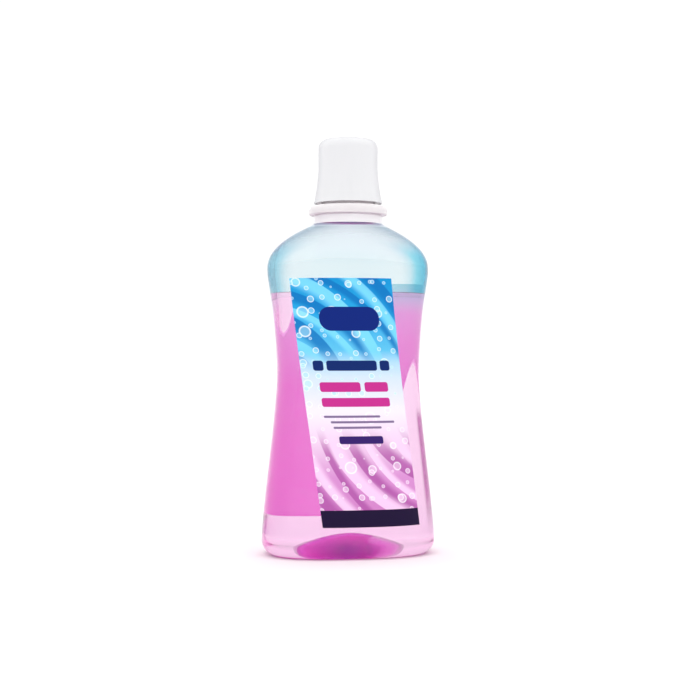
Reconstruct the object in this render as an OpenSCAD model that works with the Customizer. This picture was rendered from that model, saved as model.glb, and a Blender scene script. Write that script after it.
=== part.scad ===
// A half-litre two-phase mouthwash bottle with a screw-on measuring cap.
// The front label faces -Y, the width runs along X, and the origin is on the table under the bottle's axis.

/* [Bottle body] */
// Widest part of the body, just above its rounded foot
body_w = 87.6; // [82:0.2:90]
// Depth of the body there, from front to back
body_d = 57; // [53:0.5:61]
// Width at the waist
waist_w = 72; // [67:0.2:75]
// Depth at the waist
waist_d = 47; // [44:0.5:50]
// Width at the chest, under the shoulder
chest_w = 82.2; // [77:0.2:84]
// Depth at the chest
chest_d = 53; // [49:0.5:56]
// Radius of the rounded foot
foot_r = 7; // [5:0.5:9]
// Height of the waist above the table
waist_h = 92; // [84:1:100]
// Height of the chest
chest_h = 143.5; // [141:0.5:146]
// Height of the foot of the neck, which is also the filling level
neck_foot_h = 166.5; // [163:0.5:170]
// Thickness of the blown wall
wall = 0.6; // [0.4:0.1:1]
// How square the oval section is up to the waist, where 2 is an ellipse
square_power = 2.4; // [2.1:0.1:2.8]
// How square it is at the chest, where the body turns rounder
chest_square_power = 2.1; // [2:0.05:2.5]
// How late the shoulder rolls over into the neck
shoulder_power = 2.25; // [1.8:0.05:2.8]

/* [Dished base] */
// Width of the band that the bottle stands on, at its sides
stand_side_w = 4.4; // [3:0.2:9]
// Width of that band at the front and the back
stand_front_w = 1; // [0.8:0.1:3]
// Rise of the dish in the base
dish_h = 9.5; // [5:0.5:11]
// Thickness of the base
base_wall = 1.2; // [0.8:0.1:1.6]

/* [Neck] */
// Diameter of the finish over its thread
thread_w = 27.6; // [24:0.1:32]
// Height of the thread above its root
thread_h = 1.25; // [1:0.05:1.5]
// Wall of the finish at the root of its thread
finish_wall = 2.25; // [1.5:0.05:3]
// Height of the finish, from the bead to the lip
finish_h = 10.2; // [9.6:0.1:11]
// How far the support bead stands out past the thread
bead_stand_w = 6; // [4.2:0.1:6.5]
// Height of the support bead
bead_h = 5; // [4.6:0.2:7]
// How far the plain neck lies inside the bead
neck_inset_w = 2.8; // [1.2:0.1:3.2]
// Height of the plain neck
neck_h = 4.6; // [4:0.2:7]
// Wall of the plain neck
neck_wall = 1.2; // [0.8:0.1:1.6]

/* [Cap] */
// Height of the cap
cap_h = 32.4; // [29:0.2:36]
// How far the foot of the cap flares out
cap_flare_w = 2.4; // [1.6:0.1:3]
// Height of the flare above the foot of the cap
cap_flare_h = 20; // [18.5:0.5:21]
// Radius of the cap's top edge
cap_edge_r = 4.5; // [3:0.5:6]
// Wall of the cap's outer shell
cap_wall = 1; // [0.8:0.05:1.1]
// Gap between the bead and the foot of the cap
cap_gap = 1; // [0.5:0.1:1.2]
// Clearance between the thread's crest and the insert's bore
thread_clear = 0.15; // [0.1:0.05:0.3]
// Recess of the insert's foot inside the shell
insert_recess = 0.4; // [0.2:0.1:1]
// Thickness of the insert's ledge over the mouth
ledge_t = 1.2; // [0.8:0.1:1.6]
// How far the hole through the ledge stands back from the mouth
ledge_back_w = 0.6; // [0.2:0.1:1]
// Clearance between the insert and the shell
insert_fit = 0.05; // [0.03:0.01:0.08]

/* [Seal ring] */
// How far the soft ring reaches out past the finish
seal_reach_w = 0.55; // [0.3:0.05:0.8]
// How far its hole stands back from the mouth
seal_back_w = 0.3; // [0.1:0.1:0.8]
// Thickness of the ring
seal_t = 1; // [0.8:0.1:1.4]
// Clearance above and below the ring
seal_fit = 0.05; // [0.03:0.01:0.08]

/* [Labels] */
// Width of each label across the bottle
label_w = 49.5; // [44:0.5:52]
// Height of each label
label_h = 122; // [112:1:123]
// Height of the label's lower edge above the table
label_foot_h = 16.2; // [13:0.2:17.6]
// Lean of the label over its height
label_lean_w = 15; // [8:0.5:18]
// Thickness of the label film
label_t = 0.1; // [0.08:0.02:0.2]
// Glue line between the film and the wall
glue_t = 0.1; // [0.08:0.02:0.16]

/* [Liquids] */
// Height at which the two liquids meet
phase_h = 131.5; // [126:0.5:134]
// Clearance between the liquids and the wall
liquid_fit = 0.05; // [0.03:0.01:0.08]

/* [Hidden] */
$fn = 96;

// Outline of the body, as shares of its flare from the waist, by shares of the height
flare_shares = [[0, 0], [0.25, 0.18], [0.5, 0.48], [0.75, 0.79], [1, 1]];
swell_shares = [[0, 0], [0.3, 0.15], [0.6, 0.43], [0.8, 0.75], [1, 1]];
// Dome of the dish, as shares of its rise, by shares of its radius
dome_shares = [[0, 1], [0.3, 0.88], [0.6, 0.58], [0.85, 0.23], [1, 0]];
// Rings of the dish, as shares of its radius
dish_shares = [0.3, 0.55, 0.75, 0.9, 1];
// Points round each ring of the body, and the steps between rings
sides = 48;
corner_steps = 4;
flare_steps = 8;
swell_steps = 5;
chest_steps = 2;
shoulder_steps = 9;
// Cells of each label film, across and up
across_steps = 20;
up_steps = 16;
// Steps of the arcs in the turned outlines
arc_steps = 8;

// Diameters of the finish and the neck, all set by the thread
finish_w = thread_w - 2 * thread_h;
mouth_w = finish_w - 2 * finish_wall;
bead_w = thread_w + 2 * bead_stand_w;
neck_w = bead_w - 2 * neck_inset_w;
neck_r = neck_w / 2;

// Diameters of the cap, whose side stands over the thread by its clearances and wall
cap_w = thread_w + 2 * (thread_clear + insert_fit + cap_wall);
cap_foot_w = cap_w + 2 * cap_flare_w;
ledge_hole_w = mouth_w + 2 * ledge_back_w;
seal_w = finish_w + 2 * seal_reach_w;
seal_hole_w = mouth_w + 2 * seal_back_w;

// The lip of the bottle and the cap that stands over it
bead_foot_h = neck_foot_h + neck_h;
bead_top_h = bead_foot_h + bead_h;
lip_h = bead_top_h + finish_h;
cap_foot_h = bead_top_h + cap_gap;
cap_top_h = cap_foot_h + cap_h;
seal_foot_h = lip_h + seal_fit;
ledge_foot_h = seal_foot_h + seal_t + seal_fit;
insert_foot_h = cap_foot_h + insert_recess;
insert_top_h = ledge_foot_h + ledge_t;

// Semi-axes of the dish
dish_rx = body_w / 2 - foot_r - stand_side_w;
dish_ry = body_d / 2 - foot_r - stand_front_w;
// The blown neck runs up into the turned bead, which steps in a little further inside
neck_lap = 1;
neck_step = 0.4;
// Rounding of the bead above and below, and of the lip
bead_crown_h = 2.8;
bead_crown_w = 2.4;
bead_under_r = 0.7;
lip_r = 0.6;
// Height of the funnel under the bead, inside the neck
funnel_h = 4.2;
// Height of the insert's seat for the ring, below the lip
seal_seat_h = 1.4;
// Clearance round the seal ring in its seat
seal_side_fit = 0.2;

// A smooth curve through a table of [place, value], level at both ends
function slope_at(t, i) =
    i == 0 || i == len(t) - 1 ? 0 : (t[i + 1][1] - t[i - 1][1]) / (t[i + 1][0] - t[i - 1][0]);
function span_of(t, s) = max([for (i = [0 : len(t) - 2]) if (s >= t[i][0]) i]);
function curve_at(t, s) =
    let (i = span_of(t, s), h = t[i + 1][0] - t[i][0], q = (s - t[i][0]) / h)
    (1 + 2 * q) * pow(1 - q, 2) * t[i][1] + q * pow(1 - q, 2) * h * slope_at(t, i)
    + q * q * (3 - 2 * q) * t[i + 1][1] + q * q * (q - 1) * h * slope_at(t, i + 1);

// Half a width or a depth of the straight body at height z, from its values at the foot, the waist and the chest
function half_at(z, foot, waist, chest) =
    z < waist_h
    ? (waist + (foot - waist) * curve_at(flare_shares, (waist_h - z) / (waist_h - foot_r))) / 2
    : (waist + (chest - waist) * curve_at(swell_shares, (z - waist_h) / (chest_h - waist_h))) / 2;
function half_w(z) = half_at(z, body_w, waist_w, chest_w);
function half_d(z) = half_at(z, body_d, waist_d, chest_d);

// A ring of the body is [half width, half depth, height, squareness, wall]
function dish_ring(s) = [dish_rx * s, dish_ry * s, dish_h * curve_at(dome_shares, s), 2, base_wall];
function corner_ring(s) =
    let (inset = foot_r * (1 - sin(90 * s)))
    [body_w / 2 - inset, body_d / 2 - inset, foot_r * (1 - cos(90 * s)), square_power,
     base_wall + (wall - base_wall) * s];
function square_power_at(z) =
    square_power + (chest_square_power - square_power) * max(0, (z - waist_h) / (chest_h - waist_h));
function body_ring(z) = [half_w(z), half_d(z), z, square_power_at(z), wall];
function shoulder_ring(u) =
    let (s = pow(u, shoulder_power))
    [chest_w / 2 + (neck_r - chest_w / 2) * s, chest_d / 2 + (neck_r - chest_d / 2) * s,
     chest_h + (neck_foot_h - chest_h) * u, chest_square_power + (2 - chest_square_power) * s,
     wall + (neck_wall - wall) * s];

// Rings from one height to another, leaving out the first
function straight_rings(z0, z1, n) = [for (k = [1 : n]) body_ring(z0 + (z1 - z0) * k / n)];

lower_rings = concat(
    [for (s = dish_shares) dish_ring(s)],
    [for (k = [0 : corner_steps]) corner_ring(k / corner_steps)],
    straight_rings(foot_r, waist_h, flare_steps),
    straight_rings(waist_h, phase_h, swell_steps));
upper_rings = concat(
    straight_rings(phase_h, chest_h, chest_steps),
    [for (k = [1 : shoulder_steps]) shoulder_ring(pow(k / shoulder_steps, 0.75))]);
body_rings = concat(lower_rings, upper_rings);
neck_ring = [neck_r, neck_r, bead_foot_h + neck_lap, 2, neck_wall];
neck_bore_ring = [neck_r - neck_wall, neck_r - neck_wall, bead_foot_h + neck_lap, 2, 0];

// The same rings drawn in by their wall and a clearance, square to the outline
function drawn_in(rings, clearance) =
    [for (i = [0 : len(rings) - 1])
        let (r = rings[i],
             before = i == 0 ? [0, 0, dish_h] : rings[i - 1],
             after = i == len(rings) - 1 ? neck_ring : rings[i + 1],
             rise = after[2] - before[2],
             run_w = after[0] - before[0],
             run_d = after[1] - before[1],
             t = r[4] + clearance)
        [r[0] - t * rise / norm([run_w, rise]), r[1] - t * rise / norm([run_d, rise]),
         r[2] + t * run_w / norm([run_w, rise]), r[3], r[4]]];

function ring_points(r) =
    [for (i = [0 : sides - 1])
        let (c = cos(360 * i / sides), s = sin(360 * i / sides))
        [r[0] * sign(c) * pow(abs(c), 2 / r[3]), r[1] * sign(s) * pow(abs(s), 2 / r[3]), r[2]]];

// A closed solid through a run of rings, from a point on the axis to another
module lofted(first_z, rings, last_z) {
    last = len(rings) * sides + 1;
    points = concat([[0, 0, first_z]], [for (r = rings) each ring_points(r)], [[0, 0, last_z]]);
    faces = concat(
        [for (i = [0 : sides - 1]) [0, 1 + i, 1 + (i + 1) % sides]],
        [for (k = [0 : len(rings) - 2], i = [0 : sides - 1])
            let (a = 1 + k * sides, b = a + sides, j = (i + 1) % sides)
            each [[a + i, b + i, b + j], [a + i, b + j, a + j]]],
        [for (i = [0 : sides - 1]) [last, last - sides + (i + 1) % sides, last - sides + i]]);
    polyhedron(points, faces, convexity = 6);
}

// Quarter round of an outline about [x, y], from one angle to another
function arc(x, y, rx, ry, from, to) =
    [for (k = [0 : arc_steps])
        let (a = from + (to - from) * k / arc_steps)
        [x + rx * cos(a), y + ry * sin(a)]];

module blown_body() {
    inner = concat(drawn_in(body_rings, 0), [neck_bore_ring]);
    backwards = [for (i = [len(inner) - 1 : -1 : 0]) inner[i]];
    lofted(dish_h, concat(body_rings, [neck_ring], backwards), dish_h + base_wall);
}

// The support bead and the finish that the cap screws onto
module turned_finish() {
    rotate_extrude()
        polygon(concat(
            [[neck_r - neck_wall - neck_step, bead_foot_h]],
            arc(bead_w / 2 - bead_under_r, bead_foot_h + bead_under_r, bead_under_r, bead_under_r, -90, 0),
            arc(bead_w / 2 - bead_crown_w, bead_top_h - bead_crown_h, bead_crown_w, bead_crown_h, 0, 90),
            [[finish_w / 2, bead_top_h]],
            arc(finish_w / 2 - lip_r, lip_h - lip_r, lip_r, lip_r, 0, 90),
            [[mouth_w / 2, lip_h],
             [mouth_w / 2, bead_foot_h + funnel_h]]));
}

module bottle() {
    color([0.86, 0.9, 0.94, 0.35]) {
        blown_body();
        turned_finish();
    }
}

// A point over the front of the body, off the wall by a distance along the wall's own normal
function film_point(x, z, off) =
    let (a = half_w(z), b = half_d(z), p = square_power_at(z),
         depth = b * pow(1 - pow(abs(x) / a, p), 1 / p),
         nx = sign(x) * pow(abs(x) / a, p - 1) / a,
         ny = pow(depth / b, p - 1) / b)
    [x + off * nx / norm([nx, ny]), -depth - off * ny / norm([nx, ny]), z];

function film_layer(off) =
    [for (j = [0 : up_steps], i = [0 : across_steps])
        film_point(label_w * (i / across_steps - 0.5) + label_lean_w * (0.5 - j / up_steps),
                   label_foot_h + label_h * j / up_steps, off)];

// A leaning label film, bent over the front of the body
module film() {
    row = across_steps + 1;
    layer = row * (up_steps + 1);
    back = [for (j = [0 : up_steps - 1], i = [0 : across_steps - 1])
        let (k = j * row + i)
        each [[k, k + 1, k + row + 1], [k, k + row + 1, k + row]]];
    rim = concat(
        [for (i = [0 : across_steps]) i],
        [for (j = [1 : up_steps]) j * row + across_steps],
        [for (i = [across_steps - 1 : -1 : 0]) up_steps * row + i],
        [for (j = [up_steps - 1 : -1 : 1]) j * row]);
    faces = concat(
        back,
        [for (f = back) [f[0] + layer, f[2] + layer, f[1] + layer]],
        [for (k = [0 : len(rim) - 1])
            let (a = rim[k], b = rim[(k + 1) % len(rim)])
            each [[a, a + layer, b + layer], [a, b + layer, b]]]);
    polyhedron(concat(film_layer(glue_t), film_layer(glue_t + label_t)), faces, convexity = 4);
}

module front_label() {
    color([0.35, 0.72, 0.93]) film();
}

module back_label() {
    color([0.93, 0.9, 0.95]) rotate([0, 0, 180]) film();
}

// The lower, heavier phase, from the dish in the base up to where the two meet
module pink_liquid() {
    inner = drawn_in(body_rings, liquid_fit);
    rings = [for (k = [0 : len(lower_rings) - 1]) inner[k]];
    color([0.95, 0.45, 0.82, 0.6])
        lofted(dish_h + base_wall + liquid_fit, rings, rings[len(rings) - 1][2]);
}

// The upper, lighter phase, up to the foot of the neck
module blue_liquid() {
    inner = drawn_in(body_rings, liquid_fit);
    rings = [for (k = [len(lower_rings) - 1 : len(inner) - 1]) inner[k]];
    color([0.62, 0.86, 0.93, 0.6])
        lofted(rings[0][2], rings, rings[len(rings) - 1][2]);
}

// Outer radius of the cap at height h above its foot
function cap_r_at(h) =
    cap_w / 2 + (cap_foot_w - cap_w) / 2 * pow(max(0, 1 - h / cap_flare_h), 2);
function flare(from, to, inset) =
    [for (k = [0 : arc_steps])
        let (h = from + (to - from) * k / arc_steps)
        [cap_r_at(h) - inset, cap_foot_h + h]];

// The smooth over-shell, which is turned over as the measuring cup
module cap_shell() {
    cup_r = cap_w / 2 - cap_wall;
    cup_edge_r = cap_edge_r - cap_wall;
    color([0.95, 0.95, 0.96])
        rotate_extrude()
            polygon(concat(
                flare(0, cap_flare_h, 0),
                arc(cap_w / 2 - cap_edge_r, cap_top_h - cap_edge_r, cap_edge_r, cap_edge_r, 0, 90),
                [[0, cap_top_h], [0, cap_top_h - cap_wall]],
                arc(cup_r - cup_edge_r, cap_top_h - cap_wall - cup_edge_r, cup_edge_r, cup_edge_r, 90, 0),
                flare(cap_flare_h, 0, cap_wall)));
}

// The threaded insert pressed up into the flare of the shell, with a ledge that holds the seal ring
module cap_insert() {
    bore_r = thread_w / 2 + thread_clear;
    seat_r = seal_w / 2 + seal_side_fit;
    color([0.9, 0.9, 0.92])
        rotate_extrude()
            polygon(concat(
                flare(insert_foot_h - cap_foot_h, insert_top_h - cap_foot_h, cap_wall + insert_fit),
                [[ledge_hole_w / 2, insert_top_h],
                 [ledge_hole_w / 2, ledge_foot_h],
                 [seat_r, ledge_foot_h],
                 [seat_r, lip_h - seal_seat_h],
                 [bore_r, lip_h - seal_seat_h],
                 [bore_r, insert_foot_h]]));
}

module seal_ring() {
    color([0.86, 0.87, 0.88])
        translate([0, 0, seal_foot_h])
            rotate_extrude()
                translate([seal_hole_w / 2, 0])
                    square([(seal_w - seal_hole_w) / 2, seal_t]);
}

bottle();
front_label();
back_label();
pink_liquid();
blue_liquid();
cap_shell();
cap_insert();
seal_ring();
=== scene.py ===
# Looks of a two-phase mouthwash bottle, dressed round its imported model.
# The blown bottle, its liquids and its film labels are lofted at a finer step from the model's own outline.
# The closure is turned from its profile, and has the screw thread that the solids leave out.
import math

import bpy
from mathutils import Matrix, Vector


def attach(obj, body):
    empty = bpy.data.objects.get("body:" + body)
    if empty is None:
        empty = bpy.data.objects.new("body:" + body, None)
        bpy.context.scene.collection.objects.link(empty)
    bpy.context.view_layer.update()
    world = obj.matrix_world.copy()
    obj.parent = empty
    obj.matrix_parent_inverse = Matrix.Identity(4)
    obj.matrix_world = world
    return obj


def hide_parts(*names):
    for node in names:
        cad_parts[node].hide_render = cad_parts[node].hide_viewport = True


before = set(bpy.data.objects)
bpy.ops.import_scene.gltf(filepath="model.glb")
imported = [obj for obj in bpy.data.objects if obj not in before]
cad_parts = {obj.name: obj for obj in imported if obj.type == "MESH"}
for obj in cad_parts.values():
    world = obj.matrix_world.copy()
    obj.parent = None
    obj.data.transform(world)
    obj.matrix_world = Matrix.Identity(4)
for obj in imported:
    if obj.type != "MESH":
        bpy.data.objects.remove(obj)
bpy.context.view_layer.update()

MM = 0.001

# Sizes of the bottle in millimetres, as the model has them, apart from two. The top of the bead is 0.3 mm
# lower, so that the gap under the cap shows, and the liquid is 2 mm lower, with a hollow rim above it
BODY_W, BODY_D = 87.6, 57.0
WAIST_W, WAIST_D, WAIST_H = 72.0, 47.0, 92.0
CHEST_W, CHEST_D, CHEST_H = 82.2, 53.0, 143.5
FOOT_R = 7.0
NECK_FOOT_H = 166.5
WALL, BASE_WALL, NECK_WALL = 0.6, 1.2, 1.2
DISH_H, DISH_RX, DISH_RY = 9.5, 32.4, 20.5
NECK_R, BEAD_R = 17.0, 19.8
BEAD_FOOT_H, BEAD_TOP_H, LIP_H = 171.1, 175.8, 186.3
FINISH_R, MOUTH_R = 12.55, 10.3
THREAD_H, THREAD_LEAD, THREAD_FOOT_H = 1.25, 4.23, 179.0
PHASE_H, FILL_H, CLIMB_H = 131.5, 164.5, 1.8
LABEL_W, LABEL_H, LABEL_FOOT_H, LABEL_LEAN = 49.5, 122.0, 16.2, 15.0
CAP_R, CAP_FLARE_W, CAP_FLARE_H = 15.0, 2.4, 20.0
CAP_FOOT_H, CAP_TOP_H, CAP_EDGE_R, CAP_WALL = 177.1, 209.5, 4.5, 1.0
INSERT_FOOT_H, INSERT_TOP_H, LEDGE_FOOT_H = 177.5, 188.6, 187.4
INSERT_FIT, BORE_R, LEDGE_HOLE_R = 0.05, 13.95, 10.9
SEAT_R, SEAT_H = 13.3, 184.9
SEAL_R, SEAL_HOLE_R, SEAL_FOOT_H, SEAL_T = 13.1, 10.6, 186.35, 1.0

# How square the oval sections are, where 2 is an ellipse, and how fast the shoulder turns in
SQUARE, CHEST_SQUARE, ROUND = 2.4, 2.1, 2
SHOULDER_POWER = 2.25
# Rounding where the shoulder runs into the neck, and the power by which it sets in
NECK_EASE, NECK_EASE_POWER = 1.6, 6

# Outline of the body, as shares of its flare from the waist, by shares of the height
FLARE = ((0, 0), (0.25, 0.18), (0.5, 0.48), (0.75, 0.79), (1, 1))
SWELL = ((0, 0), (0.3, 0.15), (0.6, 0.43), (0.8, 0.75), (1, 1))
# Dome of the dish in the base, as shares of its rise, by shares of its radius
DOME = ((0, 1), (0.3, 0.88), (0.6, 0.58), (0.85, 0.23), (1, 0))

# Roundings of the bead, the finish and the mouth, in millimetres
BEAD_FOOT_R = 0.7
BEAD_EDGE_W, BEAD_EDGE_H = 2.4, 2.8
BEAD_TOP_RADII = (16, 14.5, 13.3)
ROOT_R, LIP_R, RIM_R = 0.4, 0.6, 0.4
# The funnel from the shoulder into the mouth, and the height where the body's inside gives way to it
FUNNEL_W, FUNNEL_H, FUNNEL_TOP_H = 5.5, 4.6, BEAD_FOOT_H + 4.2
BLOWN_TOP_H = BEAD_FOOT_H - 0.5

# The ridge of the thread: half its width at the root, the width of its flank and the fade at its ends
RIDGE_HALF_W, FLANK_W, FADE_TURNS = 1.2, 0.75, 0.1
NECK_TURNS = (0, 1.2)
INSERT_TURNS = (0.45, 1.45)
INSERT_THREAD_H = 1.15
# How near a point is to a radius when it lies on that wall
ON_WALL = 0.01

# How far the liquids reach into the wall and the phases into each other, so that no gap of air shows
LIQUID_BITE, PHASE_LAP = 0.12, 0.1
# A level below the base, the least rise from a flat end to the next ring, and a flat end's inner rings
BELOW_BASE, RING_GAP = -1, 0.3
FLAT_SHARES = (0.96, 0.85, 0.6, 0.3)
# The hollow rim of the liquid: its rings, by their way from the wall, and how fast it sinks
RIM_AWAY = (0.2, 0.35, 0.5, 0.7, 0.95, 1.25, 1.65, 2.2, 3, 4.2)
RIM_DECAY = 0.9

# How thick the films are, and how far they reach into the body's skin
FILM_T, FILM_BITE = 0.25, 0.05

# Small sizes of the closure: the blunt foot and the dimple of the shell, its dose lines, by how far
# they stand out and how high, the bevel of the ledge and the rounding of the seal ring
FOOT_BLUNT = 0.25
DIMPLE = ((2.9, 0.15), (1.2, 0.25), (0.3, 0.25))
DOSE_HEIGHTS = (193.2, 197.2, 201.2)
DOSE_LINE = ((0, -0.5), (0.25, -0.2), (0.25, 0.2), (0, 0.5))
LEDGE_BEVEL, SEAL_ROUND = 0.3, 0.25

# How finely the meshes are divided
SIDES = 160
DISH_STEPS, BAND_STEPS, CORNER_STEPS = 30, 4, 12
BODY_STEPS, SHOULDER_STEPS, NECK_STEPS = 60, 30, 12
FINISH_STEPS, BORE_STEPS, FLARE_STEPS = 64, 50, 24
FILM_ACROSS, FILM_UP = 80, 120
# Angles in degrees below which faces are smoothed into each other
SMOOTH_BELOW, FILM_SMOOTH_BELOW = 40, 50


# Outline of the bottle


def curve_at(table, s):
    """A smooth curve through a table of (place, value), level at both ends."""

    def slope(i):
        if i in (0, len(table) - 1):
            return 0
        (x0, y0), (x1, y1) = table[i - 1], table[i + 1]
        return (y1 - y0) / (x1 - x0)

    i = max(k for k in range(len(table) - 1) if s >= table[k][0])
    (x0, y0), (x1, y1) = table[i], table[i + 1]
    h = x1 - x0
    q = (s - x0) / h
    return (
        (1 + 2 * q) * (1 - q) ** 2 * y0
        + q * (1 - q) ** 2 * h * slope(i)
        + q * q * (3 - 2 * q) * y1
        + q * q * (q - 1) * h * slope(i + 1)
    )


def half_at(z, foot, waist, chest):
    """Half of the body's width or depth at a height, from its sizes at the foot, the waist and the chest."""
    if z < WAIST_H:
        return (waist + (foot - waist) * curve_at(FLARE, (WAIST_H - z) / (WAIST_H - FOOT_R))) / 2
    return (waist + (chest - waist) * curve_at(SWELL, (z - WAIST_H) / (CHEST_H - WAIST_H))) / 2


def body_at(z):
    """Half width and half depth of the body at a height between the foot and the chest."""
    return half_at(z, BODY_W, WAIST_W, CHEST_W), half_at(z, BODY_D, WAIST_D, CHEST_D)


def square_at(z):
    """How square the body's section is at a height."""
    return SQUARE + (CHEST_SQUARE - SQUARE) * min(1, max(0, (z - WAIST_H) / (CHEST_H - WAIST_H)))


def steps(start, end, n, first=0):
    return [start + (end - start) * k / n for k in range(first, n + 1)]


def eased_out(d, soft):
    """A distance that stays above zero, rounding the corner where it would pass it."""
    return (d + math.sqrt(d * d + soft * soft)) / 2


# A ring of the bottle is (half width, half depth, height, squareness, wall)
def dish_ring(s):
    return DISH_RX * s, DISH_RY * s, DISH_H * curve_at(DOME, s), ROUND, BASE_WALL


def band_ring(s):
    half_w = DISH_RX + (BODY_W / 2 - FOOT_R - DISH_RX) * s
    half_d = DISH_RY + (BODY_D / 2 - FOOT_R - DISH_RY) * s
    return half_w, half_d, 0, ROUND + (SQUARE - ROUND) * s, BASE_WALL


def corner_ring(s):
    inset = FOOT_R * (1 - math.sin(math.pi / 2 * s))
    z = FOOT_R * (1 - math.cos(math.pi / 2 * s))
    return BODY_W / 2 - inset, BODY_D / 2 - inset, z, SQUARE, BASE_WALL + (WALL - BASE_WALL) * s


def body_ring(z):
    return (*body_at(z), z, square_at(z), WALL)


def shoulder_ring(z):
    s = ((z - CHEST_H) / (NECK_FOOT_H - CHEST_H)) ** SHOULDER_POWER
    t = min(s, 1)
    soft = NECK_EASE * t**NECK_EASE_POWER
    return (
        NECK_R + eased_out((CHEST_W / 2 - NECK_R) * (1 - s), soft),
        NECK_R + eased_out((CHEST_D / 2 - NECK_R) * (1 - s), soft),
        z,
        CHEST_SQUARE + (ROUND - CHEST_SQUARE) * t,
        WALL + (NECK_WALL - WALL) * t,
    )


def blown_rings():
    """The outside of the blown body, from the middle of its base to the foot of the bead."""
    rings = [dish_ring(s) for s in steps(0, 1, DISH_STEPS, 1)]
    rings += [band_ring(s) for s in steps(0, 1, BAND_STEPS, 1)]
    rings += [corner_ring(s) for s in steps(0, 1, CORNER_STEPS, 1)]
    rings += [body_ring(z) for z in steps(FOOT_R, CHEST_H, BODY_STEPS, 1)]
    rise = NECK_FOOT_H - CHEST_H
    rings += [shoulder_ring(CHEST_H + rise * s**0.75) for s in steps(0, 1, SHOULDER_STEPS, 1)]
    rings += [shoulder_ring(z) for z in steps(NECK_FOOT_H, BEAD_FOOT_H, NECK_STEPS, 1)]
    return rings


def drawn_in(rings, gap):
    """The same rings drawn in by their wall and a gap, square to the outline."""
    inner = []
    for i, (a, b, z, p, wall) in enumerate(rings):
        a0, b0, z0 = rings[i - 1][:3] if i else (0, 0, z)
        a1, b1, z1 = rings[i + 1][:3] if i + 1 < len(rings) else (a, b, z + 1)
        t = wall + gap
        run_w, run_d, rise = a1 - a0, b1 - b0, z1 - z0
        long_w, long_d = math.hypot(run_w, rise), math.hypot(run_d, rise)
        inner.append((a - t * rise / long_w, b - t * rise / long_d, z + t * run_w / long_w, p, wall))
    return inner


def level_ring(rings, z):
    """The ring at a height, between the two next to it."""
    i = max(k for k in range(len(rings) - 1) if rings[k][2] <= z)
    low, high = rings[i], rings[i + 1]
    s = (z - low[2]) / (high[2] - low[2])
    return tuple(a + (b - a) * s for a, b in zip(low, high))


def shrunk(ring, s):
    return (ring[0] * s, ring[1] * s, *ring[2:])


def turned_rings(outline):
    """Round rings, without a wall, from an outline of (radius, height)."""
    return [(r, r, z, ROUND, 0) for r, z in outline]


def with_poles(rings):
    """The rings with a point on the axis before the first and after the last."""
    first, last = rings[0], rings[-1]
    return [(0, 0, *first[2:])] + rings + [(0, 0, *last[2:])]


def arc(x, z, rx, rz, start, end, n=6):
    return [
        (x + rx * math.cos(math.radians(a)), z + rz * math.sin(math.radians(a)))
        for a in steps(start, end, n)
    ]


def bottle_rings():
    """The bottle's outside, its bead, finish and mouth, and then its inside down to the base."""
    outside = blown_rings()
    foot_h, edge_h = BEAD_FOOT_H + BEAD_FOOT_R, BEAD_TOP_H - BEAD_EDGE_H
    finish = arc(BEAD_R - BEAD_FOOT_R, foot_h, BEAD_FOOT_R, BEAD_FOOT_R, -90, 0)
    finish += [(BEAD_R, z) for z in steps(foot_h, edge_h, 4, 1)]
    finish += arc(BEAD_R - BEAD_EDGE_W, edge_h, BEAD_EDGE_W, BEAD_EDGE_H, 0, 90, 10)[1:]
    finish += [(r, BEAD_TOP_H) for r in BEAD_TOP_RADII]
    finish += arc(FINISH_R + ROOT_R, BEAD_TOP_H + ROOT_R, ROOT_R, ROOT_R, -90, -180, 4)[1:]
    finish += [(FINISH_R, z) for z in steps(BEAD_TOP_H + ROOT_R, LIP_H - LIP_R, FINISH_STEPS, 1)]
    finish += arc(FINISH_R - LIP_R, LIP_H - LIP_R, LIP_R, LIP_R, 0, 90)[1:]
    finish += arc(MOUTH_R + RIM_R, LIP_H - RIM_R, RIM_R, RIM_R, 90, 180, 4)
    finish += [(MOUTH_R, z) for z in steps(LIP_H - RIM_R, FUNNEL_TOP_H, 6, 1)]
    finish += [(MOUTH_R + FUNNEL_W * s, FUNNEL_TOP_H - FUNNEL_H * s) for s in steps(0, 1, 6, 1)]
    inside = drawn_in(outside, 0)[::-1]
    inside = [ring for ring in inside if ring[2] < BLOWN_TOP_H]
    return outside + turned_rings(finish) + inside


def liquid_rings(low, high, climb=0):
    """Rings of a liquid between two heights, which reach a little into the wall.

    A free top climbs the wall by a small height, in a hollow curve.
    """
    full = drawn_in(blown_rings(), -LIQUID_BITE)
    kept = [ring for ring in full if low + RING_GAP < ring[2] < high + climb - RING_GAP]
    if low > 0:
        kept.insert(0, level_ring(full, low))
        kept = [shrunk(kept[0], s) for s in FLAT_SHARES[::-1]] + kept
    edge = level_ring(full, high + climb)
    kept.append(edge)
    if not climb:
        return kept + [shrunk(edge, s) for s in FLAT_SHARES]
    for away in RIM_AWAY:
        a, b, _, p, wall = shrunk(edge, 1 - away / edge[0])
        kept.append((a, b, high + climb * math.exp(-away / RIM_DECAY), p, wall))
    return kept + [shrunk(level_ring(full, high), s) for s in FLAT_SHARES[2:]]


# Thread of the screw finish


def ridge(z, turn, foot, first, last):
    """Height of a one-start thread at a place, as a share of its full height."""
    turn %= 1
    best = 0
    for k in range(3):
        t = turn + k
        if first <= t <= last:
            off = abs(z - foot - THREAD_LEAD * t)
            fade = min(1, (t - first) / FADE_TURNS, (last - t) / FADE_TURNS)
            best = max(best, min(1, max(0, (RIDGE_HALF_W - off) / FLANK_W)) * fade)
    return best


def neck_thread(r, z, turn):
    if abs(r - FINISH_R) < ON_WALL and BEAD_TOP_H < z < LIP_H:
        return r + THREAD_H * ridge(z, turn, THREAD_FOOT_H, *NECK_TURNS)
    return r


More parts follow.
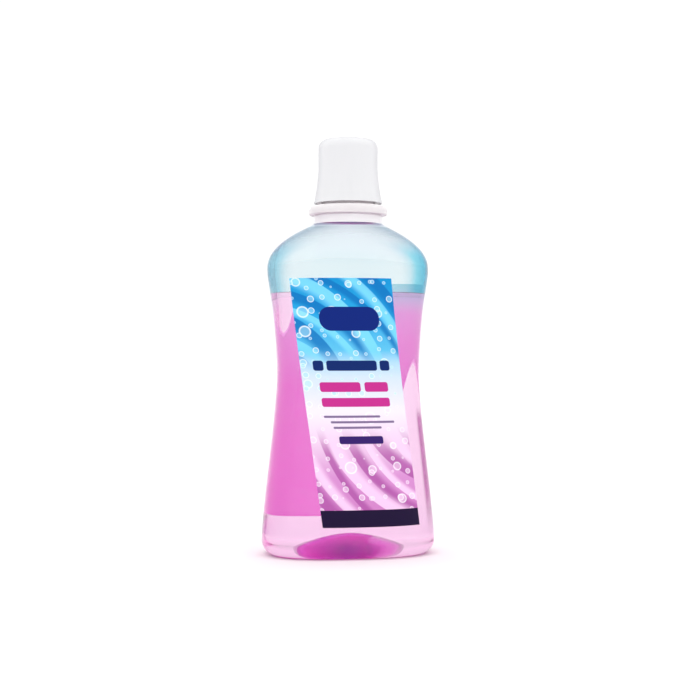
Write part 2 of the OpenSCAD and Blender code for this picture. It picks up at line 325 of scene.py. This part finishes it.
def insert_thread(r, z, turn):
    if abs(r - BORE_R) < ON_WALL:
        return r - INSERT_THREAD_H * ridge(z, turn, THREAD_FOOT_H - THREAD_LEAD / 2, *INSERT_TURNS)
    return r


# Outlines of the closure, each a run of (radius, height)


def cap_r_at(h):
    """Outer radius of the cap at a height above its foot."""
    return CAP_R + CAP_FLARE_W * max(0, 1 - h / CAP_FLARE_H) ** 2


def flare(start, end, inset):
    return [(cap_r_at(h) - inset, CAP_FOOT_H + h) for h in steps(start, end, FLARE_STEPS)]


def shell_outside():
    """The outside of the shell from its foot, with a slight dimple in its top."""
    top = CAP_TOP_H
    foot_r = cap_r_at(0)
    outline = [(foot_r - CAP_WALL / 2, CAP_FOOT_H), (foot_r - FOOT_BLUNT, CAP_FOOT_H)]
    outline += flare(FOOT_BLUNT, CAP_FLARE_H, 0)
    outline += arc(CAP_R - CAP_EDGE_R, top - CAP_EDGE_R, CAP_EDGE_R, CAP_EDGE_R, 0, 90, 14)
    outline += [(r, top) for r in (8, 5.5, 3.2)]
    return outline + [(r, top - deep) for r, deep in DIMPLE]


def shell_inside():
    """The inside of the shell from its foot, with three dose lines round the cup."""
    cup_r, edge_r = CAP_R - CAP_WALL, CAP_EDGE_R - CAP_WALL
    ceiling = CAP_TOP_H - CAP_WALL
    foot_r = cap_r_at(0)
    outline = [(foot_r - CAP_WALL / 2, CAP_FOOT_H), (foot_r - CAP_WALL + FOOT_BLUNT, CAP_FOOT_H)]
    outline += flare(FOOT_BLUNT, CAP_FLARE_H * 0.7, CAP_WALL)
    for dose_h in DOSE_HEIGHTS:
        outline += [(cup_r - proud, dose_h + h) for proud, h in DOSE_LINE]
    outline += arc(cup_r - edge_r, ceiling - edge_r, edge_r, edge_r, 0, 90, 12)
    return outline + [(r, ceiling) for r in (8, 4, 0.3)]


def insert_outline():
    low, high = INSERT_FOOT_H - CAP_FOOT_H, INSERT_TOP_H - CAP_FOOT_H
    outline = flare(low, high, CAP_WALL + INSERT_FIT)
    outline += [(LEDGE_HOLE_R + LEDGE_BEVEL, INSERT_TOP_H), (LEDGE_HOLE_R, INSERT_TOP_H - LEDGE_BEVEL)]
    outline += [(LEDGE_HOLE_R, LEDGE_FOOT_H), (SEAT_R, LEDGE_FOOT_H), (SEAT_R, SEAT_H)]
    return outline + [(BORE_R, z) for z in steps(SEAT_H, INSERT_FOOT_H, BORE_STEPS)]


def seal_outline():
    r = SEAL_ROUND
    low, high = SEAL_FOOT_H, SEAL_FOOT_H + SEAL_T
    outline = arc(SEAL_R - r, low + r, r, r, -90, 0, 4)
    outline += arc(SEAL_R - r, high - r, r, r, 0, 90, 4)
    outline += arc(SEAL_HOLE_R + r, high - r, r, r, 90, 180, 4)
    return outline + arc(SEAL_HOLE_R + r, low + r, r, r, 180, 270, 4)


# Meshes


def grid(name, across, up, place):
    """A sheet whose points, counted from 0 to 1 both ways, are put in their places in millimetres."""
    bpy.ops.object.select_all(action="DESELECT")
    bpy.ops.mesh.primitive_grid_add(x_subdivisions=across, y_subdivisions=up, size=1)
    piece = bpy.context.object
    piece.name = piece.data.name = name
    for v in piece.data.vertices:
        v.co = Vector(place(v.co.x + 0.5, v.co.y + 0.5)) * MM
    return piece


def close_up(piece, smooth=SMOOTH_BELOW):
    """Merges the seams and poles, turns the faces outwards and smooths what bends less than an angle."""
    bpy.ops.object.mode_set(mode="EDIT")
    bpy.ops.mesh.select_all(action="SELECT")
    bpy.ops.mesh.remove_doubles(threshold=1e-6)
    bpy.ops.mesh.dissolve_degenerate(threshold=1e-7)
    bpy.ops.mesh.normals_make_consistent(inside=False)
    bpy.ops.object.mode_set(mode="OBJECT")
    bpy.ops.object.shade_smooth_by_angle(angle=math.radians(smooth))
    return piece


def ring_point(ring, turn):
    a, b, z, p = ring[:4]
    c, s = math.cos(turn * math.tau), math.sin(turn * math.tau)
    return (
        a * math.copysign(abs(c) ** (2 / p), c),
        b * math.copysign(abs(s) ** (2 / p), s),
        z,
    )


def lofted(name, rings, thread=None):
    """A skin round the axis through a run of rings, which closes where they meet the axis."""
    last = len(rings) - 1

    def place(u, v):
        ring = rings[round(v * last)]
        x, y, z = ring_point(ring, round(u * SIDES) % SIDES / SIDES)
        if thread:
            r = math.hypot(x, y)
            grown = thread(r, z, math.atan2(y, x) / math.tau)
            x, y = (x * grown / r, y * grown / r) if r else (x, y)
        return x, y, z

    return close_up(grid(name, SIDES, last, place))


def drawn(outline):
    """Extrudes the chosen ring from the first (radius, height) of an outline through the others."""
    for (r0, z0), (r1, z1) in zip(outline, outline[1:]):
        bpy.ops.mesh.extrude_region_move(TRANSFORM_OT_translate={"value": (0, 0, (z1 - z0) * MM)})
        bpy.ops.transform.resize(value=(r1 / r0, r1 / r0, 1), center_override=(0, 0, 0))


def choose_open_rings():
    bpy.ops.mesh.select_all(action="DESELECT")
    bpy.ops.mesh.select_non_manifold()


def turned(name, outline, cup=None):
    """A skin turned round the axis: a ring whose outline's ends are joined, or a cup.

    A cup is drawn twice from its foot, once along each of its two outlines, and closed on the axis.
    """
    r, z = outline[0]
    bpy.ops.object.select_all(action="DESELECT")
    bpy.ops.mesh.primitive_circle_add(vertices=SIDES, radius=r * MM, fill_type="NOTHING")
    piece = bpy.context.object
    piece.name = piece.data.name = name
    bpy.ops.object.mode_set(mode="EDIT")
    bpy.ops.mesh.select_all(action="SELECT")
    bpy.ops.transform.translate(value=(0, 0, z * MM))
    drawn(outline)
    if cup:
        bpy.ops.mesh.merge(type="CENTER")
        choose_open_rings()
        drawn(cup)
        bpy.ops.mesh.merge(type="CENTER")
    else:
        choose_open_rings()
        bpy.ops.mesh.bridge_edge_loops()
    bpy.ops.object.mode_set(mode="OBJECT")
    return piece


def cut_thread(piece):
    """Raises the insert's thread from its bore."""
    for v in piece.data.vertices:
        r = math.hypot(v.co.x, v.co.y) / MM
        grown = insert_thread(r, v.co.z / MM, math.atan2(v.co.y, v.co.x) / math.tau)
        v.co.x, v.co.y = v.co.x * grown / r, v.co.y * grown / r
    return piece


# Shaders


class Value:
    """A socket that can be used in sums."""

    def __init__(self, shade, socket):
        self.shade, self.socket = shade, socket

    def math(self, operation, *others):
        return self.shade.sum(operation, self, *others)

    def __add__(self, other):
        return self.math("ADD", other)

    def __sub__(self, other):
        return self.math("SUBTRACT", other)

    def __rsub__(self, other):
        return self.shade.sum("SUBTRACT", other, self)

    def __mul__(self, other):
        return self.math("MULTIPLY", other)

    def __truediv__(self, other):
        return self.math("DIVIDE", other)

    def __abs__(self):
        return self.math("ABSOLUTE")

    __radd__ = __add__
    __rmul__ = __mul__

    def most(self, other):
        return self.math("MAXIMUM", other)

    def over(self, edge, soft):
        """1 above an edge and 0 below it, with a soft step between."""
        return self.shade.node(
            "ShaderNodeMapRange",
            {"interpolation_type": "SMOOTHSTEP"},
            {"Value": self, "From Min": edge - soft / 2, "From Max": edge + soft / 2},
        )

    def under(self, edge, soft):
        return 1 - self.over(edge, soft)


class Shade:
    """The nodes of a material or of the world, all made by one method."""

    def __init__(self, name, world=False):
        self.holder = (bpy.data.worlds if world else bpy.data.materials).new(name)
        self.holder.use_nodes = True
        self.tree = self.holder.node_tree
        self.tree.nodes.clear()
        self.end = "ShaderNodeOutputWorld" if world else "ShaderNodeOutputMaterial"

    def node(self, kind, settings=None, sockets=None, out=0):
        """A node with its settings, its ramp's stops and its sockets' values or links."""
        n = self.tree.nodes.new(kind)
        for key, value in (settings or {}).items():
            if key == "stops":
                ramp = n.color_ramp.elements
                while len(ramp) < len(value):
                    ramp.new(0.5)
                for stop, (place, colour) in zip(ramp, value):
                    stop.position = place
                    stop.color = (*colour, 1)
            else:
                setattr(n, key, value)
        for key, value in (sockets or {}).items():
            if isinstance(value, Value):
                self.tree.links.new(value.socket, n.inputs[key])
            else:
                n.inputs[key].default_value = value
        return Value(self, n.outputs[out]) if n.outputs else None

    def sum(self, operation, *terms):
        return self.node("ShaderNodeMath", {"operation": operation}, dict(enumerate(terms)))

    def spot(self, turn=0):
        """Object coordinates, in millimetres."""
        point = self.node("ShaderNodeTexCoord", out="Object")
        return self.node(
            "ShaderNodeMapping",
            sockets={"Vector": point, "Scale": (1000,) * 3, "Rotation": (0, 0, turn)},
        )

    def axes(self, point):
        parts = self.node("ShaderNodeSeparateXYZ", sockets={0: point})
        return [Value(self, parts.socket.node.outputs[k]) for k in range(3)]

    def facing(self):
        """0 where a surface faces the eye, and 1 at its outline."""
        return self.node("ShaderNodeLayerWeight", sockets={"Blend": 0.5}, out="Facing")

    def noise(self, point, scale, detail, rough=0.5, stretch=(1, 1, 1)):
        if stretch != (1, 1, 1):
            point = self.node("ShaderNodeMapping", sockets={"Vector": point, "Scale": stretch})
        return self.node(
            "ShaderNodeTexNoise",
            sockets={"Vector": point, "Scale": scale, "Detail": detail, "Roughness": rough},
        )

    def ramp(self, share, *stops):
        """A run of colours along a share, from stops of (place, colour)."""
        return self.node("ShaderNodeValToRGB", {"stops": stops}, {0: share})

    def blend(self, share, a, b, kind="MIX"):
        """A mix of two colours."""
        return self.node(
            "ShaderNodeMix", {"data_type": "RGBA", "blend_type": kind}, {0: share, 6: a, 7: b}, out=2
        )

    def bump(self, height, strength, distance):
        return self.node(
            "ShaderNodeBump", sockets={"Height": height, "Strength": strength, "Distance": distance}
        )

    def surface(self, **sockets):
        named = {key.replace("_", " "): value for key, value in sockets.items()}
        return self.node("ShaderNodeBsdfPrincipled", sockets=named)

    def milky_surface(self, depth, **sockets):
        """A surface into which the light sinks by a depth in metres."""
        return self.surface(
            Subsurface_Weight=1.0, Subsurface_Scale=depth, Subsurface_Radius=(1, 1, 1), **sockets
        )

    def done(self, surface, volume=None):
        ends = {"Surface": surface, "Volume": volume} if volume else {"Surface": surface}
        self.node(self.end, sockets=ends)
        return self.holder


def rgb(r, g, b):
    """A colour from its screen values, 0 to 255."""
    return tuple(
        (c / 255 / 12.92) if c <= 10 else ((c / 255 + 0.055) / 1.055) ** 2.4 for c in (r, g, b)
    )


def rgba(r, g, b):
    return (*rgb(r, g, b), 1)


WHITE = rgba(255, 255, 255)
# One index for the bottle and what it holds, so that no edge shows between them
WET_IOR = 1.34

# Materials of the bottle and its liquids, with heights and places in millimetres

PHASE_SOFT = 0.4
# Heights and place of the painted shade on the skin: where its grey grows stronger, where its blue fades and
# where its dark streak lies
GREY_FROM_H, BLUE_TO_H = 150, 154
STREAK_X, STREAK_FOOT_H, STREAK_TOP_H = 25, 20, 72
BLOWN_GLOSS, DISH_HAZE = 0.004, 0.3


def clear_plastic(name, haze):
    """The blown plastic, as rough as its haze and a few dull spots, with painted shade that tints it towards
    its outline.
    """
    s = Shade(name)
    p = s.spot()
    flow = s.noise(p, 0.05, 2)
    dull_spots = s.noise(p, 0.35, 3).over(0.68, 0.3)
    tint = s.blend(flow, rgba(248, 249, 250), rgba(251, 252, 252))
    x, _, z = s.axes(p)
    edge = s.facing()
    # Painted shade over the upper phase: grey on the skin's slopes towards its outline, stronger on the
    # shoulder, and a deeper blue near its outline, stronger on the right
    head = z.over(PHASE_H, PHASE_SOFT) * z.under(FILL_H, 1)
    slope = edge * edge * head * (0.7 + 1.4 * z.over(GREY_FROM_H, 8))
    tint = s.blend(slope, tint, rgba(125, 148, 170))
    rim = edge.over(0.26, 0.24) * (1 - 0.35 * edge.over(0.66, 0.2)) * z.under(BLUE_TO_H, 10)
    side = 0.5 + 0.42 * x.over(0, 40)
    tint = s.blend(rim * head * side, tint, rgba(70, 199, 224))
    # Painted shade over the lower phase: pink towards its outline, and a painted dark streak low on the
    # right
    foot = z.under(PHASE_H, PHASE_SOFT)
    tint = s.blend(edge * foot * 0.4, tint, rgba(230, 120, 200))
    painted_shade_streak = edge.over(0.5, 0.12) * edge.under(0.86, 0.1) * x.over(STREAK_X, 4)
    painted_shade_streak = painted_shade_streak * z.over(STREAK_FOOT_H, 26) * z.under(STREAK_TOP_H, 8)
    tint = s.blend(painted_shade_streak * 0.95, tint, rgba(136, 16, 116))
    surface = s.surface(
        Base_Color=tint,
        Roughness=haze + 0.03 * dull_spots,
        IOR=WET_IOR,
        Transmission_Weight=1.0,
        Normal=s.bump(flow, 0.06, 0.002),
    )
    return s.done(surface)


def painted_light_neck():
    """The bead and the finish, in a milky white that stands in for clear plastic seen against bright light,
    which is painted light.
    """
    s = Shade("painted_light_neck")
    p = s.spot()
    flow = s.noise(p, 0.12, 3)
    # Painted light: the neck below the bead is lighter than the bead above it
    low = s.blend(flow, rgba(250, 242, 249), rgba(255, 249, 254))
    high = s.blend(flow, rgba(220, 215, 217), rgba(229, 225, 227))
    z = s.axes(p)[2]
    # Painted shade: a greyer band just under the bead's foot
    low = s.blend(z.over(BEAD_FOOT_H - 0.7, 0.7), low, rgba(216, 207, 213))
    surface = s.milky_surface(
        0.002,
        Base_Color=s.blend(z.over(BEAD_FOOT_H + 0.2, 0.3), low, high),
        Roughness=0.25 + 0.1 * flow,
        IOR=1.5,
        Normal=s.bump(s.noise(p, 2, 2), 0.08, 0.00005),
    )
    return s.done(surface)


def liquid(s, p, tint, absorbed, density):
    """A clear liquid with faint swirls, a tint on its skin that carries painted shade, and the colour that
    it absorbs.
    """
    swirl = s.blend(s.noise(p, 0.03, 1), rgba(252, 252, 253), WHITE)
    surface = s.surface(
        Base_Color=s.blend(1.0, swirl, tint, "MULTIPLY"),
        Roughness=0.0,
        IOR=WET_IOR,
        Transmission_Weight=1.0,
    )
    volume = s.node("ShaderNodeVolumeAbsorption", sockets={"Color": absorbed, "Density": density})
    return s.done(surface, volume)


def pink_liquid():
    """The lower phase, with painted shade over the dish in the base: a deeper tint on its skin there, darker
    to the right and deepest low near the middle.
    """
    s = Shade("pink_liquid")
    p = s.spot()
    x, y, z = s.axes(p)
    dx, dy = x / DISH_RX, y / DISH_RY
    # Painted shade: the skin's deeper tint over the dish
    over_dish = (dx * dx + dy * dy).under(1.1, 0.16) * z.under(DISH_H + 4, 1)
    shallow = s.blend(x.over(6, 24), rgba(250, 106, 234), rgba(216, 84, 202))
    deep = s.blend(abs(x + 4).under(10, 24) * z.under(8, 7), shallow, rgba(172, 8, 206))
    tint = s.blend(over_dish, WHITE, deep)
    return liquid(s, p, tint, (0.97, 0.0, 0.7, 1), 8.4)


def blue_liquid():
    """The upper phase, with painted shade as a darker tint on its rim where it climbs the wall."""
    s = Shade("blue_liquid")
    p = s.spot()
    z = s.axes(p)[2]
    # Painted shade on the rim that climbs the wall
    tint = s.blend(z.over(FILL_H + 0.1, 0.3), WHITE, rgba(192, 180, 206))
    return liquid(s, p, tint, (0.0, 0.5, 0.6, 1), 5.2)


# Materials of the closure


def cap_plastic():
    s = Shade("white_cap")
    p = s.spot()
    flow = s.noise(p, 0.08, 3, 0.6, (1, 1, 0.35))
    fine = s.noise(p, 2.5, 3)
    colour = s.blend(flow, rgba(224, 224, 226), rgba(228, 228, 230))
    # The base colour greys towards the cap's outline, which is painted shade
    surface = s.milky_surface(
        0.001,
        Base_Color=s.blend(s.facing().over(0.66, 0.56), colour, rgba(202, 202, 206)),
        Roughness=0.3 + 0.12 * flow + 0.05 * fine,
        IOR=1.49,
        Normal=s.bump(fine, 0.12, 0.00006),
    )
    return s.done(surface)


def insert_plastic():
    s = Shade("natural_insert")
    p = s.spot()
    flow = s.noise(p, 0.15, 3)
    surface = s.milky_surface(
        0.001,
        Base_Color=s.blend(flow, rgba(250, 250, 250), rgba(254, 254, 254)),
        Roughness=0.35 + 0.15 * flow,
        Normal=s.bump(s.noise(p, 3, 2), 0.1, 0.00005),
    )
    return s.done(surface)


def soft_seal():
    s = Shade("soft_seal")
    fine = s.noise(s.spot(), 4, 4)
    surface = s.milky_surface(
        0.001,
        Base_Color=s.blend(fine, rgba(248, 248, 248), rgba(254, 254, 254)),
        Roughness=0.6 + 0.2 * fine,
        Normal=s.bump(fine, 0.2, 0.00005),
    )
    return s.done(surface)


# Print on the films, in millimetres across the film and up from its foot

INK_EDGE, BUBBLE_EDGE = 0.25, 0.04
PLATE_BLUE, NAVY = rgba(2, 34, 120), rgba(6, 38, 104)
MAGENTA, GREY, PURPLE = rgba(196, 46, 140), rgba(128, 108, 146), rgba(52, 28, 104)
ROW_H = 3.2
STRIP_H = 8.4
BUBBLE_SIZES = (13, 6.5)
ARCS, ARC_FIRST_R, ARC_STEP = 9, 34, 7


def bar_mask(across, h, middle, half_w, height, half_h, round_r):
    """1 inside a bar with round corners."""
    dx = (abs(across - middle) - (half_w - round_r)).most(0)
    dy = (abs(h - height) - (half_h - round_r)).most(0)
    return (dx * dx + dy * dy).math("SQRT").under(round_r, INK_EDGE)


def sweep(across, h, middle, height, radius, thick):
    """1 within a band along a wide arc, which fades on its inner side."""
    dx, dy = across - middle, h - height
    reach = (dx * dx + dy * dy).math("SQRT")
    return (reach.over(radius - thick, thick * 0.8) - reach.over(radius, 0.5)).most(0)


def bubbles(s, across, h, size):
    """Fill and rim of round spots of many sizes, one to each cell of a loose grid."""
    spot = s.node("ShaderNodeCombineXYZ", sockets={0: across / size, 1: h / size})
    away = s.node(
        "ShaderNodeTexVoronoi",
        {"voronoi_dimensions": "2D"},
        {"Vector": spot, "Scale": 1.0, "Randomness": 0.5},
    )
    chance = s.axes(Value(s, away.socket.node.outputs["Color"]))[0]
    radius = 0.05 + 0.2 * chance
    fill = away.under(radius, BUBBLE_EDGE)
    return fill, fill - away.under(radius * 0.78, BUBBLE_EDGE)


def front_print(s, across, h):
    """Wide arcs and bubbles on a ground from violet to blue, a bare plate, bars and a bare strip."""
    share = h / LABEL_H
    ink = s.ramp(
        share,
        (0.0, rgb(204, 122, 190)),
        (0.2, rgb(212, 142, 204)),
        (0.34, rgb(236, 204, 232)),
        (0.46, rgb(240, 232, 246)),
        (0.6, rgb(208, 224, 242)),
        (0.66, rgb(176, 216, 242)),
        (0.71, rgb(92, 190, 232)),
        (0.86, rgb(36, 162, 222)),
        (1.0, rgb(12, 144, 208)),
    )
    for middle, height, zone, dark, light in (
        (-46, 58, share.over(0.68, 0.12), rgba(0, 112, 186), rgba(126, 218, 250)),
        (50, 62, share.under(0.34, 0.14), rgba(172, 82, 162), rgba(248, 212, 244)),
    ):
        for k in range(ARCS):
            lean = 4 * math.sin(2.3 * k)
            radius, thick = ARC_FIRST_R + ARC_STEP * k, 3.4 + 1.4 * (k % 3)
            band = sweep(across, h, middle + lean, height - lean, radius, thick)
            ink = s.blend(band * zone * 0.85, ink, light if k % 2 else dark)
    pale = s.blend(share.over(0.5, 0.1), rgba(252, 222, 248), rgba(168, 230, 252))
    for size in BUBBLE_SIZES:
        fill, rim = bubbles(s, across, h, size)
        ink = s.blend(fill * 0.45, ink, pale)
        ink = s.blend(rim * 0.7, ink, rgba(250, 252, 254))
    for middle, half_w, height, half_h, round_r, tone in (
        (1.5, 14.8, 102.0, 5.9, 5.4, PLATE_BLUE),
        (0.0, 12.5, 79.0, 2.5, 1.2, NAVY),
        (-16.5, 2.5, 79.0, 2.5, 1.2, NAVY),
        (16.5, 2.5, 79.0, 2.5, 1.2, NAVY),
        (-7.0, 10.0, 68.5, 2.4, 1.2, MAGENTA),
        (11.0, 6.0, 68.5, 2.4, 1.2, MAGENTA),
        (0.0, 17.0, 61.0, 2.2, 1.1, MAGENTA),
        (-3.0, 14.0, 54.0, 0.55, 0.5, GREY),
        (2.0, 16.0, 51.3, 0.55, 0.5, GREY),
        (-1.0, 12.0, 48.6, 0.55, 0.5, GREY),
        (0.0, 11.0, 42.5, 1.9, 1.0, PURPLE),
    ):
        ink = s.blend(bar_mask(across, h, middle, half_w, height, half_h, round_r), ink, tone)
    strip = h.under(STRIP_H, 0.2)
    return s.blend(strip, ink, rgba(26, 8, 50))


def back_print(s, across, h):
    """Pale film with a blue head, a violet foot, an open frame and rows of plain lines."""
    ink = s.ramp(
        h / LABEL_H,
        (0.0, rgb(214, 150, 214)),
        (0.1, rgb(228, 190, 232)),
        (0.2, rgb(244, 242, 248)),
        (0.82, rgb(244, 247, 250)),
        (0.9, rgb(140, 214, 244)),
        (1.0, rgb(40, 160, 220)),
    )
    rows = (h * (math.tau / ROW_H)).math("SINE").over(0.35, 0.2)
    row = (h / ROW_H).math("FLOOR") * 47
    along_row = s.node("ShaderNodeCombineXYZ", sockets={0: across, 1: row})
    gaps = s.noise(along_row, 0.3, 0).over(0.43, 0.02)
    block = bar_mask(across, h, 0, 19.5, 62, 32, 0.5)
    ink = s.blend(rows * gaps * block * 0.8, ink, rgba(70, 70, 110))
    panel = bar_mask(across, h, 0, 20.5, 106, 6, 1.2)
    inside = bar_mask(across, h, 0, 20.0, 106, 5.5, 0.9)
    return s.blend(panel - inside, ink, rgba(245, 250, 252))


def printed_film(name, turn, front):
    """A printed side, whose coordinates are turned to face front and follow the film's lean."""
    s = Shade(name)
    p = s.spot(turn)
    x, _, z = s.axes(p)
    h = z - LABEL_FOOT_H
    across = x - LABEL_LEAN * (0.5 - h / LABEL_H)
    surface = s.surface(
        Base_Color=front_print(s, across, h) if front else back_print(s, across, h),
        Roughness=0.3 + 0.1 * s.noise(p, 0.9, 4, 0.6),
        Specular_IOR_Level=0.12,
        IOR=1.5,
        Normal=s.bump(s.noise(p, 0.15, 2), 0.1, 0.0003),
    )
    return s.done(surface)


def film_back():
    """The unprinted side, coloured by height with the pink and blue of the liquids, which is painted light:
    the colour that light picks up crossing the liquids to reach it.
    """
    s = Shade("film_back")
    p = s.spot()
    soft = s.noise(p, 0.12, 3)
    # Painted light: the liquids' pink below and blue at the top, as the light brings them to this side
    liquid_light_painted = s.ramp(
        (s.axes(p)[2] - LABEL_FOOT_H) / LABEL_H,
        (0.0, rgb(255, 92, 214)),
        (0.56, rgb(255, 109, 219)),
        (0.75, rgb(250, 137, 228)),
        (0.87, rgb(228, 160, 236)),
        (0.93, rgb(184, 200, 242)),
        (1.0, rgb(150, 222, 248)),
    )
    surface = s.milky_surface(
        0.0018,
        Base_Color=s.blend(soft, liquid_light_painted, WHITE, "MULTIPLY"),
        Roughness=0.5 + 0.1 * soft,
        Specular_IOR_Level=0.0,
    )
    return s.done(surface)


# Pieces

# Places of the further materials in a piece's list
PAINTED_LIGHT_PLACE, HAZY_PLACE = 1, 2
UNPRINTED_PLACE = 1


def dress(piece, body, slot, material, *nodes):
    """Gives a piece its material and its body, and hides the model's nodes that it stands for. The slot is
    not used.
    """
    piece.data.materials.clear()
    piece.data.materials.append(material)
    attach(piece, body)
    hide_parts(*nodes)
    return piece


bottle = dress(
    lofted("clear_bottle_skin", with_poles(bottle_rings()), neck_thread),
    "bottle",
    "clear_bottle",
    clear_plastic("clear_bottle", BLOWN_GLOSS),
    "bottle",
)
bottle.data.materials.append(painted_light_neck())
bottle.data.materials.append(clear_plastic("hazy_dish", DISH_HAZE))
# Above the liquid the skin takes the neck's white, which is painted light, and the dish's underside a hazier
# gloss
for face in bottle.data.polygons:
    x, y, z = face.center / MM
    if z > FILL_H + CLIMB_H:
        face.material_index = PAINTED_LIGHT_PLACE
    elif math.hypot(x / DISH_RX, y / DISH_RY) < 1 and face.normal.z < 0:
        face.material_index = HAZY_PLACE

dress(
    lofted("pink_liquid_fill", with_poles(liquid_rings(BELOW_BASE, PHASE_H + PHASE_LAP))),
    "bottle",
    "pink_liquid",
    pink_liquid(),
    "pink_liquid",
)
dress(
    lofted("blue_liquid_fill", with_poles(liquid_rings(PHASE_H - PHASE_LAP, FILL_H, CLIMB_H))),
    "bottle",
    "blue_liquid",
    blue_liquid(),
    "blue_liquid",
)


def film(name, side, slot, material, node):
    """A leaning film over the front (side 1) or the back (side -1) of the body."""

    def place(u, v):
        z = LABEL_FOOT_H + LABEL_H * v
        half_w, half_d = body_at(z)
        x = LABEL_W * (u - 0.5) + LABEL_LEAN * (0.5 - v)
        p = square_at(z)
        depth = half_d * (1 - abs(x / half_w) ** p) ** (1 / p) - FILM_BITE
        return side * x, -side * depth, z

    piece = grid(name, FILM_ACROSS, FILM_UP, place)
    wall = piece.modifiers.new("wall", "SOLIDIFY")
    wall.thickness = FILM_T * MM
    wall.offset = 1
    bpy.ops.object.modifier_apply(modifier="wall")
    close_up(piece, FILM_SMOOTH_BELOW)
    dress(piece, "bottle", slot, material, node)
    piece.data.materials.append(film_back())
    for face in piece.data.polygons:
        if face.normal.y * side > 0.05:
            face.material_index = UNPRINTED_PLACE


film("front_film", 1, "front_film", printed_film("front_film", 0, True), "front_label")
film("back_film", -1, "back_film", printed_film("back_film", math.pi, False), "back_label")

dress(
    close_up(turned("cap_over_shell", shell_outside(), shell_inside())),
    "cap",
    "white_cap",
    cap_plastic(),
    "cap_shell",
)
dress(
    close_up(cut_thread(turned("cap_threaded_insert", insert_outline()))),
    "cap",
    "natural_insert",
    insert_plastic(),
    "cap_insert",
)
dress(
    close_up(turned("lip_seal_ring", seal_outline())),
    "seal",
    "soft_seal",
    soft_seal(),
    "seal_ring",
)

# Floor, light and camera

FLOOR_R, FLOOR_SIDES = 6, 96
SUN_SPREAD, SUN_STRENGTH = math.radians(120), 0.58
ROUND_STRENGTH, SEEN_STRENGTH = 1.12, 1.05
# How far out to a side the light starts to turn grey and has turned grey, as shares of the whole way
GREY_START, GREY_END = 0.86, 0.97
EYE_H, EYE_AWAY, EYE_TURN = 0.1029, 0.711, math.radians(10)
AIM_RIGHT = 1.0 * MM
LENS, SENSOR_W = 72, 36


def floor_finish():
    s = Shade("pale_floor")
    soft = s.noise(s.spot(), 0.004, 2)
    colour = s.blend(soft, rgba(242, 242, 242), rgba(244, 244, 244))
    return s.done(s.surface(Base_Color=colour, Roughness=0.9))


def studio_world():
    """White light from all round, a little greyer from far out on both sides, and plain white to the eye."""
    s = Shade("studio", world=True)
    out_to_side = abs(s.axes(s.node("ShaderNodeTexCoord", out="Generated"))[0])
    colour = s.ramp(out_to_side, (GREY_START, (1.0, 1.0, 1.0)), (GREY_END, (0.86, 0.86, 0.87)))
    shining = s.node("ShaderNodeBackground", sockets={"Color": colour, "Strength": ROUND_STRENGTH})
    seen = s.node("ShaderNodeBackground", sockets={"Color": WHITE, "Strength": SEEN_STRENGTH})
    by_eye = s.node("ShaderNodeLightPath", out="Is Camera Ray")
    return s.done(s.node("ShaderNodeMixShader", sockets={0: by_eye, 1: shining, 2: seen}))


bpy.ops.object.select_all(action="DESELECT")
bpy.ops.mesh.primitive_circle_add(vertices=FLOOR_SIDES, radius=FLOOR_R, fill_type="NGON")
floor = bpy.context.object
floor.name = "studio_floor"
floor.data.materials.append(floor_finish())

bpy.context.scene.world = studio_world()

bpy.ops.object.light_add(type="SUN", location=(0, 0, 1))
overhead = bpy.context.object
overhead.name = "overhead_softbox"
overhead.data.angle = SUN_SPREAD
overhead.data.energy = SUN_STRENGTH

bpy.ops.object.camera_add(
    location=(-EYE_AWAY * math.sin(EYE_TURN), -EYE_AWAY * math.cos(EYE_TURN), EYE_H)
)
camera = bpy.context.object
camera.name = "photo_view"
camera.data.lens = LENS
camera.data.sensor_width = SENSOR_W
camera.data.clip_start, camera.data.clip_end = 0.01, 50
target = Vector((AIM_RIGHT * math.cos(EYE_TURN), -AIM_RIGHT * math.sin(EYE_TURN), EYE_H))
camera.rotation_euler = (target - camera.location).to_track_quat("-Z", "Y").to_euler()

scene = bpy.context.scene
scene.camera = camera
scene.view_settings.view_transform = "Standard"
# Enough bounces for light to pass the skin and both liquids, and to sink into the white plastics
scene.cycles.max_bounces = 64
scene.cycles.transmission_bounces = 64
scene.cycles.diffuse_bounces = 24
scene.cycles.blur_glossy = 0
